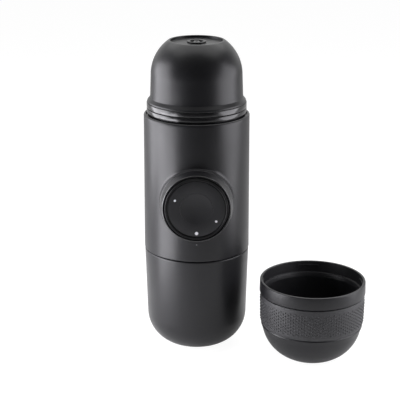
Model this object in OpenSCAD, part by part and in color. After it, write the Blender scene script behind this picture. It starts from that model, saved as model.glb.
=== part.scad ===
// Handheld manual espresso maker, standing on its water tank, with its cup beside it.
// Millimetres. Z runs up the axis of the machine, Z = 0 is the foot of the tank,
// and the piston button faces the front, which is -Y.

/* [Tank] */
// Height of the tank from its foot to its shoulder
tank_h = 58.4; // [54:0.2:64]
// Step in from the body's foot to the tank's shoulder
tank_step = 0.2; // [0:0.05:0.4]
// Narrowing of the tank's side from its shoulder to its rounded base
tank_taper = 1.1; // [0.6:0.1:1.4]
// Radius of the rounded base in section
tank_base_r = 19.1; // [18:0.1:20]
// Diameter of the flat foot
foot_d = 24; // [20:0.5:28]
// Wall of the tank
tank_wall = 2.2; // [1.6:0.1:2.6]
// Wall of the tank's mouth behind the thread
mouth_wall = 2.2; // [1.8:0.1:2.6]
// Height of the tank's mouth above its shoulder
mouth_h = 9.5; // [8.5:0.1:11]

/* [Body] */
// Height of the body shell
body_h = 78.2; // [76:0.2:84]
// Outer diameter of the body at its foot
body_d = 60; // [56:0.1:68]
// Narrowing of the body's side from its foot to its top
body_taper = 0.4; // [0:0.05:0.6]
// Wall of the body shell
shell_wall = 2; // [1.6:0.1:2.3]
// Wall of the body shell round the base collar
skirt_wall = 1.4; // [1.2:0.1:1.5]
// Wall of the base collar behind its thread
collar_wall = 1.8; // [1.5:0.1:2.2]
// Rounding of the body's top edge
top_edge_r = 1.1; // [0.6:0.1:1.2]
// Shadow gap between the tank and the body
joint_gap = 0.5; // [0.3:0.1:0.8]
// Visible height of the gloss band on the body's neck
neck_band_h = 3.3; // [2.6:0.1:4]
// Step in from the body's top to the gloss bands
band_step = 1.7; // [1.5:0.05:2]
// Width of the shoulder between the gloss band and the neck's thread
neck_shoulder = 5.7; // [5.6:0.1:6]
// Height of the neck's thread
neck_thread_h = 9; // [8:0.1:10]

/* [Head] */
// Height of the gloss band on the outlet head
head_band_h = 3; // [2.4:0.1:3.6]
// Height of the outlet head's dome
head_h = 34.2; // [33.6:0.1:38]
// Step in from the gloss bands to the dome's flared foot
head_foot_step = 0.2; // [0:0.05:0.4]
// Width of the flare at the dome's foot
flare_w = 1.8; // [1.4:0.1:2]
// Narrowing of the dome's side from its flare to its shoulder
head_taper = 0.45; // [0.2:0.05:0.6]
// Height of the flare at the dome's foot
flare_h = 2.8; // [2:0.1:3.4]
// Distance from the machine's axis to the centre of the shoulder's arc
shoulder_at = 1.95; // [1:0.05:3]
// Outer diameter of the rim at the top
rim_d = 31.2; // [30.4:0.1:32]
// Diameter of the recess in the top
recess_d = 29; // [27:0.1:29.4]
// Depth of the recess in the top
recess_depth = 1.5; // [1:0.1:1.8]
// Wall of the dome
head_wall = 1.7; // [1.4:0.1:1.8]
// Diameter of the outlet opening
outlet_d = 7.5; // [6.5:0.1:8]

/* [Filter basket] */
// Depth of the basket
basket_h = 17.6; // [16:0.1:18.4]
// Thickness of the basket's steel
basket_t = 0.6; // [0.5:0.1:0.8]
// Width of the basket's flange
basket_flange_w = 2.8; // [2.6:0.1:3.4]
// Diameter of one hole in the basket and the shower screen
hole_d = 1.2; // [0.9:0.1:1.4]
// Distance between those holes
hole_pitch = 4; // [3.8:0.1:4.6]

/* [Piston] */
// Height of the piston's axis above the foot of the body
piston_h = 33.4; // [32.8:0.1:34.2]
// Diameter of the button
button_d = 35.6; // [35:0.1:36]
// How far the button stands out of the body
button_stand = 8.2; // [7.6:0.1:9]
// Room behind the pressed button
button_room = 1; // [0.6:0.1:1.8]
// Wall of the button's skirt
button_wall = 1.9; // [1.6:0.1:2.2]
// Diameter of the dished insert in the button
insert_d = 18; // [16:0.1:20]
// Bore of the pump cylinder
bore_d = 10; // [9:0.1:10.4]
// Wall of the steel cylinder liner
liner_wall = 1; // [0.8:0.1:1.2]
// Diameter of the plunger's rod
rod_d = 8; // [6:0.1:8.4]
// Web left between the lug windows and the cone collar
window_web = 0.2; // [0.1:0.1:4]
// Turn of the button between released and locked, in degrees
lock_turn = 45; // [30:1:60]
// Wall of the boss round the button
boss_wall = 1.2; // [1:0.1:1.6]
// How far the boss stands out of the body
boss_stand = 1.6; // [1:0.1:2.4]

/* [Springs] */
// Mean diameter of the return spring
spring_d = 23; // [21:0.1:24.6]
// Wire of the return spring
spring_wire = 1.2; // [0.9:0.1:1.4]
// Turns of the return spring
spring_turns = 9; // [6:1:11]
// Diameter of a check valve's ball
ball_d = 3.4; // [3.2:0.1:3.8]
// Lift of a check valve's ball
ball_lift = 1; // [0.6:0.1:1.4]

/* [Cup] */
// Height of the cup
cup_h = 46.3; // [46:0.1:50]
// Wall of the cup's rim, which closes over the gloss bands
rim_wall = 1.45; // [1.2:0.05:1.8]
// How much wider the rim band is at its foot than at the rim
rim_swell = 0.2; // [0:0.05:0.4]
// Depth of the ledge under the rim band's recess
rim_ledge = 0.5; // [0.4:0.1:1]
// Step in from the rim band to the grip sleeve
sleeve_step = 0.45; // [0.2:0.05:0.6]
// Narrowing of the grip sleeve from its top to its lower edge
sleeve_taper = 0.35; // [0:0.05:0.5]
// Height of the grip sleeve
sleeve_h = 18.3; // [15:0.1:18.6]
// Thickness of the grip sleeve at its top
sleeve_t = 1.1; // [0.8:0.05:1.3]
// Radius of the bowl's rounded base in section
bowl_r = 23; // [22.4:0.1:23.6]
// Diameter of the cup's flat foot
cup_foot_d = 24; // [20:0.5:28]
// Sideways gap between the machine and the cup
cup_beside = 5.55; // [2:0.05:30]
// How far the cup stands in front of the machine's axis
cup_front = 23.2; // [0:0.1:40]

/* [Fits] */
// Radial gap between pieces that are fixed together
fit = 0.1; // [0.05:0.01:0.15]
// Radial gap between pieces that slide or turn
run = 0.3; // [0.2:0.01:0.35]
// Radial gap between threads, and the gap between the two gloss bands
thread_gap = 0.2; // [0.15:0.01:0.3]
// Depth of the threads
thread_depth = 0.8; // [0.5:0.1:1]
// Spacing of the thread ridges
thread_pitch = 1.6; // [1.4:0.1:2]
// Thickness of the rubber seals
seal_t = 1.5; // [1.2:0.1:1.7]

/* [Hidden] */
$fn = 96;

shell_color = "#3d3d41";
gloss_color = "#17171a";
black_color = "#262628";
rubber_color = "#303032";
steel_color = "#b9bcc0";
frame_color = "#8d9096";
mark_color = "#d8d8d8";

eps = 0.01;
cut = 1;              // how far a cutting solid runs past the face that it opens

// diameters, from the body inwards
body_top_d = body_d - 2 * body_taper;
tank_top_d = body_d - 2 * tank_step;
tank_low_d = tank_top_d - 2 * tank_taper;
band_d = body_top_d - 2 * band_step;
neck_thread_d = band_d - 2 * neck_shoulder;
head_foot_d = band_d - 2 * head_foot_step;
head_neck_d = head_foot_d - 2 * flare_w;
head_side_d = head_neck_d - 2 * head_taper;
shoulder_r = head_side_d / 2 - shoulder_at;
basket_flange_d = neck_thread_d - 2 * thread_gap;
basket_d = basket_flange_d - 2 * basket_flange_w;

// heights up the machine
shell_z0 = tank_h + joint_gap;
shell_z1 = shell_z0 + body_h;
piston_z = shell_z0 + piston_h;
neck_z = shell_z1 + neck_band_h;
liner_z0 = neck_z + thread_gap;
head_z0 = liner_z0 + head_band_h;
head_z1 = head_z0 + head_h;
mouth_z = tank_h + mouth_h;
neck_top_z = neck_z + neck_thread_h;

// the body shell's hollow
cavity_r = body_top_d / 2 - shell_wall;
skirt_r = body_d / 2 - skirt_wall;
neck_hole_r = band_d / 2 + run;
neck_seat_depth = 5;
neck_seat_z = shell_z1 - neck_seat_depth;

// base collar: threaded bore below, sealing flange above
collar_lift = 0.5;
collar_flange_t = 2.3;
gasket_t = 0.6;
collar_z0 = shell_z0 + collar_lift;
tank_seal_t = 1.2;
flange_z0 = mouth_z + tank_seal_t;
flange_z1 = flange_z0 + collar_flange_t;
frame_z0 = flange_z1 + gasket_t;
collar_r = skirt_r - fit;
collar_bore_r = collar_r - collar_wall;
tank_mouth_d = 2 * (collar_bore_r - thread_gap);
mouth_bore_r = tank_mouth_d / 2 - thread_depth - mouth_wall;
flange_w = 11;
flange_r = collar_r - flange_w;
tank_seal_w = 1.6;

// pump frame: two discs, an upright web, the barrel and the valve tower
disc_t = 3.5;
disc_r = cavity_r - run;
neck_depth = 12.6;
frame_z1 = shell_z1 - neck_depth;
web_t = 4;
web_y0 = -3;
barrel_wall = 2;
liner_r = bore_d / 2 + liner_wall;
barrel_r = liner_r + barrel_wall;
barrel_front = 12;
valve_r = 2.8;
tower_r = valve_r + 1.6;
valve_y = disc_r - tower_r - 0.7;
liner_back = valve_y - 1.6;
chamber_back = valve_y + 1.8;
barrel_back = chamber_back + 1.8;
port_r = 1.1;
channel_r = 0.9;
channel_z = frame_z1 - disc_t / 2;
post_r = 3;
post_h = 3;

// screws: four into each end of the frame
screw_edge = 7;       // from the disc's edge to the screws
screw_at = disc_r - screw_edge;
screw_angles = [30, 150, 210, 330];
screw_shank_r = 1;
screw_head_r = 1.9;
screw_head_t = 1.4;
screw_len = 7.3;
socket_r = 0.9;
socket_depth = 0.8;
hole_end = 0.4;       // left uncut above a screw hole

// check valves
seat_t = 1.4;
seat_hole_r = 1;
seat_gap = 0.03;
valve_room = 9;
ball_r = ball_d / 2;
ball_rise = sqrt(ball_r * ball_r - seat_hole_r * seat_hole_r) + seat_gap;
inlet_r = 1.6;
inlet_y = valve_y - valve_r + inlet_r;
inlet_well = 3;
inlet_seat_t = 4;
inlet_seat_z = frame_z0 + inlet_well + inlet_seat_t;
inlet_web = 0.9;
outlet_web = 2.3;
inlet_top_z = piston_z - bore_d / 2 - inlet_web;
outlet_z0 = piston_z + bore_d / 2 + outlet_web;
outlet_seat_z = outlet_z0 + seat_t;
outlet_top_z = outlet_z0 + valve_room;
valve_wire = 0.4;
valve_coil_d = 2.6;
valve_turns = 4;

// piston: lengths are measured outward along its axis from the machine's axis
guide_wall = 0.9;
guide_bore_r = button_d / 2 + run;
guide_r = guide_bore_r + guide_wall;
guide_end_t = 2;
guide_back = -web_y0;
button_reach = body_d / 2 + button_stand;
boss_reach = body_d / 2 + boss_stand;
boss_d = 2 * (guide_r + fit + boss_wall);
guide_drop = 0.4;
guide_reach = button_reach - guide_drop;
boss_edge_r = boss_wall;
collar_foot_step = 0.3;
collar_foot_r = boss_d / 2 - collar_foot_step;
lip_t = 0.4;
lip_h = 0.4;
face_sink = 0.5;
web_front = button_reach - face_sink;
button_web_t = 3.6;
skirt_bore_r = button_d / 2 - button_wall;
button_back = guide_back + guide_end_t + button_room;
button_skirt = button_reach - button_back;
hub_r = 4.7;
cap_r = 3.4;          // head of the screw in the button
cap_t = 1.15;
spigot_r = 2.5;
spigot_gap = 0.05;
hub_h = 9.4;
insert_t = 1.3;
hub_back = web_front - insert_t - hub_h;
cap_gap = 0.1;
spigot_end = web_front - insert_t - cap_t - cap_gap;
insert_dish = 0.7;
lug_t = 2.4;
lug_w = 5;
lug_h = 0.8;
lug_back = button_back + 0.7;
slot_gap = 0.3;
stroke = boss_reach - window_web - slot_gap - lug_t - lug_back;
hook_t = 2.4;
hook_end = 4;         // angle that a hook runs past the middle of the turned lug
ring_groove = 0.8;
ring_w = 1.8;
head_len = 6;
plunger_room = 0.4;
plunger_back = liner_back - plunger_room;
ring_gap = 0.03;
head_gap = 0.06;
dot_t = 0.15;
dot_r = 0.9;
small_dot_r = 0.65;
dot_at = button_d / 2 - 4;
small_dot_at = button_d / 2 - 5.1;
small_dot_angles = [157, -33];
mark_r = 0.4;
mark_drop = 23.2;

// neck and what seats on it
neck_wall = 1.1;
neck_bore_r = neck_thread_d / 2 - thread_depth - neck_wall;
neck_plate_t = 3;
screen_drop = 3.9;
screen_t = 0.8;
clip_t = 1;
clip_w = 1.6;
groove_depth = 0.5;
groove_h = 1.7;
basket_z0 = neck_top_z + seal_t;
basket_z1 = basket_z0 + basket_h;
seal_step = 0.7;
seal_bore_r = basket_d / 2 + seal_step;
flange_t = 1;
head_seal_z0 = basket_z0 + flange_t;
ledge_t = 1.6;
ledge_z0 = head_seal_z0 + seal_t;
ledge_z1 = ledge_z0 + ledge_t;
liner_bore_r = neck_thread_d / 2 + thread_gap;
head_cavity_r = head_side_d / 2 - head_wall;
dome_cx = shoulder_at;
dome_cz = head_z1 - sqrt(pow(shoulder_r, 2) - pow(rim_d / 2 - dome_cx, 2));
ceiling_t = 2;
ceiling_z = head_z1 - recess_depth - ceiling_t;
lip_ring_w = 1.55;
lip_ring_h = 1;
nozzle_flange_r = 7;
nozzle_flange_t = 1.2;
nozzle_tip_r = 1.3;
nozzle_bore_r = 0.7;

// cup
cup_groove_h = 0.6;
cup_recess_r = band_d / 2 + run;
cup_recess_h = head_band_h + neck_band_h + thread_gap;
cup_band_h = cup_recess_h + rim_ledge;
cup_rim_d = 2 * (cup_recess_r + rim_wall);
cup_band_d = cup_rim_d + 2 * rim_swell;
sleeve_top_d = cup_band_d - 2 * sleeve_step;
sleeve_low_d = sleeve_top_d - 2 * sleeve_taper;
bowl_d = sleeve_top_d - 2 * sleeve_t;
cup_x = body_d / 2 + cup_band_d / 2 + cup_beside;
bowl_wall = 0.9;
cup_liner_t = 0.9;
cup_floor_t = 1.8;
liner_chamfer = 2.4;
lug_ring_h = 0.9;
lug_ring_drop = 2;
lug_ring_depth = 0.45;
lug_ring_angle = 25;
bowl_cx = bowl_d / 2 - bowl_r;
bowl_cz = sqrt(pow(bowl_r, 2) - pow(cup_foot_d / 2 - bowl_cx, 2));
band_z0 = cup_h - cup_band_h;
sleeve_z1 = band_z0 - cup_groove_h;
sleeve_z0 = sleeve_z1 - sleeve_h;

// ---- helpers ------------------------------------------------------------------

// a ring round Z between two radii and two heights
module ring(r_in, r_out, z0, z1) {
    rotate_extrude() translate([r_in, z0]) square([r_out - r_in, z1 - z0]);
}

// half section of a male thread with its wall: ridges stand on a root cylinder,
// and the wall runs on below them by the given skirt
thread_lead_in = 1;
module thread_2d(r_major, r_in, z0, h, skirt) {
    root = r_major - thread_depth;
    ridge = 0.85 * thread_pitch;
    translate([r_in, z0 - skirt]) square([root - r_in, h + skirt]);
    for (i = [0 : floor((h - thread_lead_in) / thread_pitch) - 1])
        translate([root, z0 + thread_lead_in + i * thread_pitch])
            polygon([[-eps, 0], [0, 0], [thread_depth, 0.35 * thread_pitch],
                     [thread_depth, 0.5 * thread_pitch], [0, ridge], [-eps, ridge]]);
}

// half section of a bowl: an arc of radius r round (cx, cz), cut flat at z0
module bowl_2d(r, cx, cz, z0) {
    intersection() {
        union() {
            translate([cx, cz]) circle(r);
            translate([0, cz - r]) square([cx, r]);
        }
        translate([0, z0]) square([cx + r, cz - z0]);
    }
}

// places a piece on the piston's axis: its Z points out of the front
module on_piston_axis() {
    translate([0, 0, piston_z]) rotate([90, 0, 0]) children();
}

// places a piece on the axis of the check valves
module on_valve_axis() {
    translate([0, valve_y, 0]) children();
}

// four copies at the screws' places, clear of the piston's guide
module at_screws() {
    for (a = screw_angles) rotate([0, 0, a]) translate([screw_at, 0, 0]) children();
}

// hexagonal field of round places inside a circle
module hole_field(r) {
    n = ceil(r / hole_pitch) + 1;
    for (i = [-n : n], j = [-n : n]) {
        x = hole_pitch * (i + j / 2);
        y = hole_pitch * j * sqrt(3) / 2;
        if (norm([x, y]) < r) translate([x, y, 0]) children();
    }
}

// centres along a coil, eight to the turn
coil_steps = 8;
function coil_centres(d, z0, z1, turns) = [
    for (i = [0 : turns * coil_steps])
        let (a = i * 360 / coil_steps, t = i / (turns * coil_steps))
        [d / 2 * cos(a), d / 2 * sin(a), z0 + t * (z1 - z0)]
];
// least distance between the wire's surfaces on turns next to each other
function coil_gap(c, wire) = min([
    for (i = [0 : len(c) - 1], j = [0 : len(c) - 1])
        if (j - i >= coil_steps / 2) norm(c[j] - c[i]) - wire
]);

// one unbroken tube of six sides along a coil
module coil(d, wire, z0, z1, turns) {
    sides = 6;
    c = coil_centres(d, z0 + wire / 2, z1 - wire / 2, turns);
    last = len(c) - 1;
    tilt = atan((z1 - z0 - wire) / turns / (PI * d));
    points = [
        for (i = [0 : last], k = [0 : sides - 1])
            let (a = i * 360 / coil_steps, b = k * 360 / sides, q = wire / 2 * cos(b), u = wire / 2 * sin(b))
            c[i] + [q * cos(a) + u * sin(tilt) * sin(a), q * sin(a) - u * sin(tilt) * cos(a), u * cos(tilt)]
    ];
    walls = [
        for (i = [0 : last - 1], k = [0 : sides - 1])
            let (n = (k + 1) % sides, p = i * sides, q = p + sides)
            each [[p + k, q + k, p + n], [p + n, q + k, q + n]]
    ];
    start = [for (k = [1 : sides - 2]) [0, k, k + 1]];
    end = [for (k = [1 : sides - 2]) [last * sides, last * sides + k + 1, last * sides + k]];
    polyhedron(points = points, faces = concat(walls, start, end));
}

// ---- tank ---------------------------------------------------------------------

module tank_2d(inset) {
    cx = tank_low_d / 2 - tank_base_r;
    cz = sqrt(pow(tank_base_r, 2) - pow(foot_d / 2 - cx, 2));
    bowl_2d(tank_base_r - inset, cx, cz, inset);
    polygon([[0, cz], [tank_low_d / 2 - inset, cz], [tank_top_d / 2 - inset, tank_h - inset],
             [0, tank_h - inset]]);
}

module water_tank() {
    color(shell_color) rotate_extrude() {
        difference() {
            tank_2d(0);
            tank_2d(tank_wall);
            translate([0, tank_h - tank_wall - cut]) square([mouth_bore_r, tank_wall + 2 * cut]);
        }
        thread_2d(tank_mouth_d / 2, mouth_bore_r, tank_h, mouth_h, tank_wall);
    }
}

module tank_seal_ring() {
    mid = mouth_bore_r + mouth_wall / 2;
    color(rubber_color) ring(mid - tank_seal_w / 2, mid + tank_seal_w / 2, mouth_z, flange_z0);
}

// ---- body ---------------------------------------------------------------------

module shell_2d() {
    r1 = body_top_d / 2;
    polygon([[0, shell_z0], [body_d / 2, shell_z0], [r1, shell_z1 - top_edge_r], [0, shell_z1 - top_edge_r]]);
    translate([0, shell_z1 - top_edge_r]) square([r1 - top_edge_r, top_edge_r]);
    intersection() {
        translate([r1 - top_edge_r, shell_z1 - top_edge_r]) circle(top_edge_r);
        translate([0, shell_z1 - top_edge_r]) square([body_d, top_edge_r]);
    }
}

module boss() {
    r = boss_d / 2;
    rotate_extrude() {
        square([r - boss_edge_r, boss_reach]);
        square([r, boss_reach - boss_edge_r]);
        translate([r - boss_edge_r, boss_reach - boss_edge_r]) circle(boss_edge_r);
    }
}

module body_shell() {
    color(shell_color) difference() {
        union() {
            rotate_extrude() shell_2d();
            on_piston_axis() boss();
        }
        translate([0, 0, shell_z0 - cut]) cylinder(r = cavity_r, h = body_h + 2 * cut);
        translate([0, 0, shell_z0 - cut]) cylinder(r = skirt_r, h = frame_z0 - shell_z0 + cut);
        translate([0, 0, neck_seat_z]) cylinder(r = neck_hole_r, h = neck_seat_depth + cut);
        on_piston_axis() cylinder(r = guide_r + fit, h = boss_reach + cut);
    }
}

// small printed dot under the button that its large dot lines up with
module index_mark() {
    z = piston_z - mark_drop;
    r = body_d / 2 - (z - mark_r - shell_z0) / body_h * (body_d - body_top_d) / 2;
    color(mark_color) intersection() {
        translate([0, 0, z]) rotate([90, 0, 0]) cylinder(r = mark_r, h = body_d);
        ring(r, r + dot_t, z - mark_r, z + mark_r);
    }
}

module base_collar() {
    color(black_color) difference() {
        rotate_extrude() {
            translate([collar_bore_r, collar_z0]) square([collar_r - collar_bore_r, flange_z1 - collar_z0]);
            translate([flange_r, flange_z0]) square([collar_r - flange_r, collar_flange_t]);
        }
        at_screws() {
            translate([0, 0, flange_z0 - cut]) cylinder(r = screw_head_r + fit, h = screw_head_t + cut);
            translate([0, 0, flange_z0]) cylinder(r = screw_shank_r + fit, h = collar_flange_t + cut);
        }
        translate([0, inlet_y, flange_z0 - cut]) cylinder(r = inlet_r, h = collar_flange_t + 2 * cut);
    }
}

module base_gasket() {
    color(rubber_color) difference() {
        ring(flange_r, disc_r, flange_z1, frame_z0);
        at_screws() translate([0, 0, flange_z1 - cut])
            cylinder(r = screw_shank_r + fit, h = gasket_t + 2 * cut);
        translate([0, inlet_y, flange_z1 - cut]) cylinder(r = inlet_r, h = gasket_t + 2 * cut);
    }
}

module inlet_strainer() {
    mesh_t = 0.5;
    mesh_hole_r = 0.25;
    mesh_at = 0.85;
    color(steel_color) translate([0, inlet_y, flange_z0]) difference() {
        cylinder(r = inlet_r, h = mesh_t);
        for (a = [0 : 60 : 300]) rotate([0, 0, a]) translate([mesh_at, 0, -cut])
            cylinder(r = mesh_hole_r, h = mesh_t + 2 * cut);
        translate([0, 0, -cut]) cylinder(r = mesh_hole_r, h = mesh_t + 2 * cut);
    }
}

// umbrella valve that lets air into the tank
vent_at = [7.5 - flange_r, 8];
vent_stem_r = 1.2;
vent_cap_r = 3.6;
vent_cap_t = 1;
vent_knob_r = 1.8;
vent_knob_t = 1.2;
module air_vent_valve() {
    color(rubber_color) translate([vent_at[0], vent_at[1], frame_z0]) {
        translate([0, 0, -vent_cap_t]) cylinder(r = vent_cap_r, h = vent_cap_t);
        translate([0, 0, -eps]) cylinder(r = vent_stem_r, h = disc_t + 2 * eps);
        translate([0, 0, disc_t]) cylinder(r1 = vent_knob_r, r2 = vent_stem_r, h = vent_knob_t);
    }
}

module pump_frame() {
    color(frame_color) difference() {
        union() {
            difference() {
                translate([0, 0, frame_z0]) cylinder(r = disc_r, h = disc_t);
                on_piston_axis() translate([0, 0, guide_back]) cylinder(r = guide_r + fit, h = boss_reach);
            }
            translate([0, 0, frame_z1 - disc_t]) cylinder(r = disc_r, h = disc_t);
            intersection() {
                translate([-disc_r, web_y0, frame_z0]) cube([2 * disc_r, web_t, frame_z1 - frame_z0]);
                translate([0, 0, frame_z0]) cylinder(r = disc_r, h = frame_z1 - frame_z0);
            }
            on_piston_axis() translate([0, 0, -barrel_back])
                cylinder(r = barrel_r, h = barrel_back + barrel_front);
            on_valve_axis() translate([0, 0, frame_z0]) cylinder(r = tower_r, h = frame_z1 - frame_z0);
            at_screws() translate([0, 0, frame_z0 + disc_t - eps]) cylinder(r = post_r, h = post_h + eps);
        }
        on_piston_axis() {
            translate([0, 0, -liner_back]) cylinder(r = liner_r, h = liner_back + barrel_front + cut);
            translate([0, 0, -chamber_back]) cylinder(r = bore_d / 2, h = chamber_back);
        }
        on_valve_axis() {
            translate([0, 0, frame_z0 - cut]) cylinder(r = valve_r, h = inlet_top_z - frame_z0 + cut);
            translate([0, 0, inlet_top_z - cut]) cylinder(r = port_r, h = outlet_z0 - inlet_top_z + 2 * cut);
            translate([0, 0, outlet_z0]) cylinder(r = valve_r, h = frame_z1 - outlet_z0 + cut);
            translate([0, 0, channel_z]) rotate([90, 0, 0]) cylinder(r = channel_r, h = valve_y);
        }
        translate([0, 0, channel_z - channel_r]) cylinder(r = port_r, h = disc_t);
        at_screws() {
            translate([0, 0, frame_z0 - cut])
                cylinder(r = screw_shank_r, h = disc_t + post_h + cut - hole_end);
            translate([0, 0, frame_z1 - disc_t - cut])
                cylinder(r = screw_shank_r + fit, h = disc_t + 2 * cut);
        }
        translate([vent_at[0], vent_at[1], frame_z0 - cut]) {
            cylinder(r = vent_stem_r, h = disc_t + 2 * cut);
            for (a = [0 : 120 : 240]) rotate([0, 0, a]) translate([vent_stem_r + 1.2, 0, 0])
                cylinder(r = 0.5, h = disc_t + 2 * cut);
        }
    }
}

// one screw, head down, its shank pointing up
module frame_screw() {
    difference() {
        cylinder(r = screw_head_r, h = screw_head_t);
        translate([0, 0, -cut]) cylinder(r = socket_r, h = socket_depth + cut, $fn = 6);
    }
    translate([0, 0, screw_head_t - eps]) cylinder(r = screw_shank_r, h = screw_len + eps);
}

module frame_screws() {
    color(steel_color) at_screws() {
        translate([0, 0, flange_z0]) frame_screw();
        translate([0, 0, frame_z1 - disc_t - screw_head_t]) frame_screw();
    }
}

module cylinder_liner() {
    color(steel_color) on_piston_axis() ring(bore_d / 2, liner_r, -liner_back, barrel_front);
}

// ---- check valves -------------------------------------------------------------

module inlet_seat() {
    color(rubber_color) on_valve_axis() ring(seat_hole_r, valve_r, frame_z0 + inlet_well, inlet_seat_z);
}

module inlet_ball() {
    color(steel_color) on_valve_axis() translate([0, 0, inlet_seat_z + ball_rise]) sphere(ball_r);
}

// height of a valve spring's foot: its wire rests on the ball
spring_foot = sqrt(pow(ball_r + valve_wire / 2, 2) - pow(valve_coil_d / 2, 2)) - valve_wire / 2;

// spring of a check valve, from its ball on the given seat up to the given height
module valve_spring(seat_z, z1) {
    z0 = seat_z + ball_rise + spring_foot + seat_gap;
    coil(valve_coil_d, valve_wire, z0, z1, valve_turns);
}

module inlet_spring() {
    color(steel_color) on_valve_axis() valve_spring(inlet_seat_z, inlet_top_z);
}

module outlet_seat() {
    color(rubber_color) on_valve_axis() ring(seat_hole_r, valve_r, outlet_z0, outlet_seat_z);
}

module outlet_ball() {
    color(steel_color) on_valve_axis() translate([0, 0, outlet_seat_z + ball_rise]) sphere(ball_r);
}

module outlet_spring() {
    color(steel_color) on_valve_axis() valve_spring(outlet_seat_z, outlet_top_z);
}

module outlet_plug() {
    color(black_color) on_valve_axis() difference() {
        translate([0, 0, outlet_top_z]) cylinder(r = valve_r, h = frame_z1 - outlet_top_z);
        translate([0, 0, outlet_top_z - cut])
            cylinder(r = port_r, h = channel_z + channel_r - outlet_top_z + cut);
        translate([0, 0, channel_z]) rotate([90, 0, 0]) cylinder(r = channel_r, h = valve_r + cut);
    }
}

// ---- piston -------------------------------------------------------------------

// a block of ring between two angles
module ring_part(r_in, r_out, a0, a1, h) {
    rotate([0, 0, a0]) rotate_extrude(angle = a1 - a0) translate([r_in, 0]) square([r_out - r_in, h]);
}

// guide: a flanged bush with two windows for the button's lugs; a hook at the turned
// end of each window holds the lug down there
module piston_guide() {
    window_z0 = lug_back - slot_gap;
    window_z1 = lug_back + lug_t + stroke + slot_gap;
    half = asin((lug_w / 2 + slot_gap) / guide_bore_r);
    hook_z0 = lug_back + lug_t + slot_gap;
    color(shell_color) on_piston_axis() {
        difference() {
            rotate_extrude() {
                translate([guide_bore_r, guide_back]) square([guide_wall, boss_reach - guide_back]);
                translate([barrel_r + fit, guide_back]) square([guide_r - barrel_r - fit, guide_end_t]);
                polygon([[guide_bore_r, boss_reach - eps], [guide_r, boss_reach - eps], [guide_r, boss_reach],
                         [collar_foot_r, boss_reach], [guide_bore_r + lip_t, guide_reach - lip_h],
                         [guide_bore_r + lip_t / 2, guide_reach], [guide_bore_r, guide_reach]]);
            }
            for (a = [0, 180]) rotate([0, 0, a]) translate([0, 0, window_z0])
                ring_part(guide_bore_r - cut, guide_r + cut, -lock_turn - half, half, window_z1 - window_z0);
        }
        for (a = [0, 180]) rotate([0, 0, a]) translate([0, 0, hook_z0])
            ring_part(guide_bore_r, guide_r, -lock_turn - half - 1, hook_end - lock_turn, hook_t);
    }
}

module plunger() {
    ring_z = -plunger_back + (head_len - ring_w) / 2;
    rod_z0 = -plunger_back + head_len - eps;
    color(black_color) on_piston_axis() difference() {
        union() {
            translate([0, 0, -plunger_back]) cylinder(r = bore_d / 2 - head_gap, h = head_len);
            translate([0, 0, rod_z0]) cylinder(d = rod_d, h = hub_back - rod_z0);
            translate([0, 0, hub_back - eps]) cylinder(r = spigot_r, h = spigot_end - hub_back + eps);
        }
        ring(bore_d / 2 - ring_groove, bore_d / 2 + cut, ring_z, ring_z + ring_w);
        translate([0, 0, hub_back]) cylinder(r = screw_shank_r, h = button_reach);
    }
}

module piston_ring() {
    ring_z = -plunger_back + (head_len - ring_w) / 2;
    color(rubber_color) on_piston_axis()
        ring(bore_d / 2 - ring_groove, bore_d / 2 - ring_gap, ring_z, ring_z + ring_w);
}

module return_spring() {
    z0 = guide_back + guide_end_t;
    z1 = web_front - button_web_t;
    c = coil_centres(spring_d, z0 + spring_wire / 2, z1 - spring_wire / 2, spring_turns);
    echo(str("return_spring least gap between turns, mm: ", coil_gap(c, spring_wire)));
    color(steel_color) on_piston_axis() coil(spring_d, spring_wire, z0 + fit, z1 - fit, spring_turns);
}

// screw that holds the button on the plunger's spigot and lets it turn
module plunger_screw() {
    color(steel_color) on_piston_axis() {
        translate([0, 0, spigot_end]) cylinder(r = cap_r, h = cap_t);
        translate([0, 0, hub_back + cut]) cylinder(r = screw_shank_r, h = spigot_end - hub_back - cut + eps);
    }
}

module piston_button() {
    r = button_d / 2;
    rim = button_wall * 0.9;
    hub_front = web_front - insert_t;
    color(black_color) on_piston_axis() difference() {
        union() {
            rotate_extrude() {
                translate([skirt_bore_r, button_back]) square([button_wall, button_skirt - face_sink]);
                translate([0, web_front - button_web_t]) square([r, button_web_t]);
                polygon([[r - rim, web_front], [r, web_front], [r, button_reach - face_sink / 2],
                         [r - face_sink / 2, button_reach], [r - rim * 0.8, button_reach]]);
                translate([spigot_r, hub_back]) square([hub_r - spigot_r, hub_front - hub_back]);
            }
            for (a = [0, 180]) rotate([0, 0, a]) intersection() {
                translate([skirt_bore_r + eps, -lug_w / 2, lug_back]) cube([r, lug_w, lug_t]);
                translate([0, 0, lug_back]) cylinder(r = r + lug_h, h = lug_t);
            }
        }
        translate([0, 0, hub_front]) cylinder(r = insert_d / 2 + fit, h = insert_t + cut);
        translate([0, 0, spigot_end - spigot_gap]) cylinder(r = cap_r + spigot_gap, h = button_reach);
        translate([0, 0, hub_back - cut]) cylinder(r = spigot_r + spigot_gap, h = button_reach - hub_back);
    }
}

module button_insert() {
    edge = 0.6;
    dish_r = (pow(insert_d / 2 - edge, 2) + pow(insert_dish, 2)) / (2 * insert_dish);
    color(black_color) on_piston_axis() rotate_extrude() difference() {
        translate([0, web_front - insert_t]) square([insert_d / 2, insert_t]);
        translate([0, web_front - insert_dish + dish_r]) circle(dish_r, $fn = 720);
    }
}

module button_dots() {
    color(mark_color) on_piston_axis() translate([0, 0, web_front]) {
        rotate([0, 0, -90]) translate([dot_at, 0, 0]) cylinder(r = dot_r, h = dot_t);
        for (a = small_dot_angles) rotate([0, 0, a]) translate([small_dot_at, 0, 0])
            cylinder(r = small_dot_r, h = dot_t);
    }
}

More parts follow.
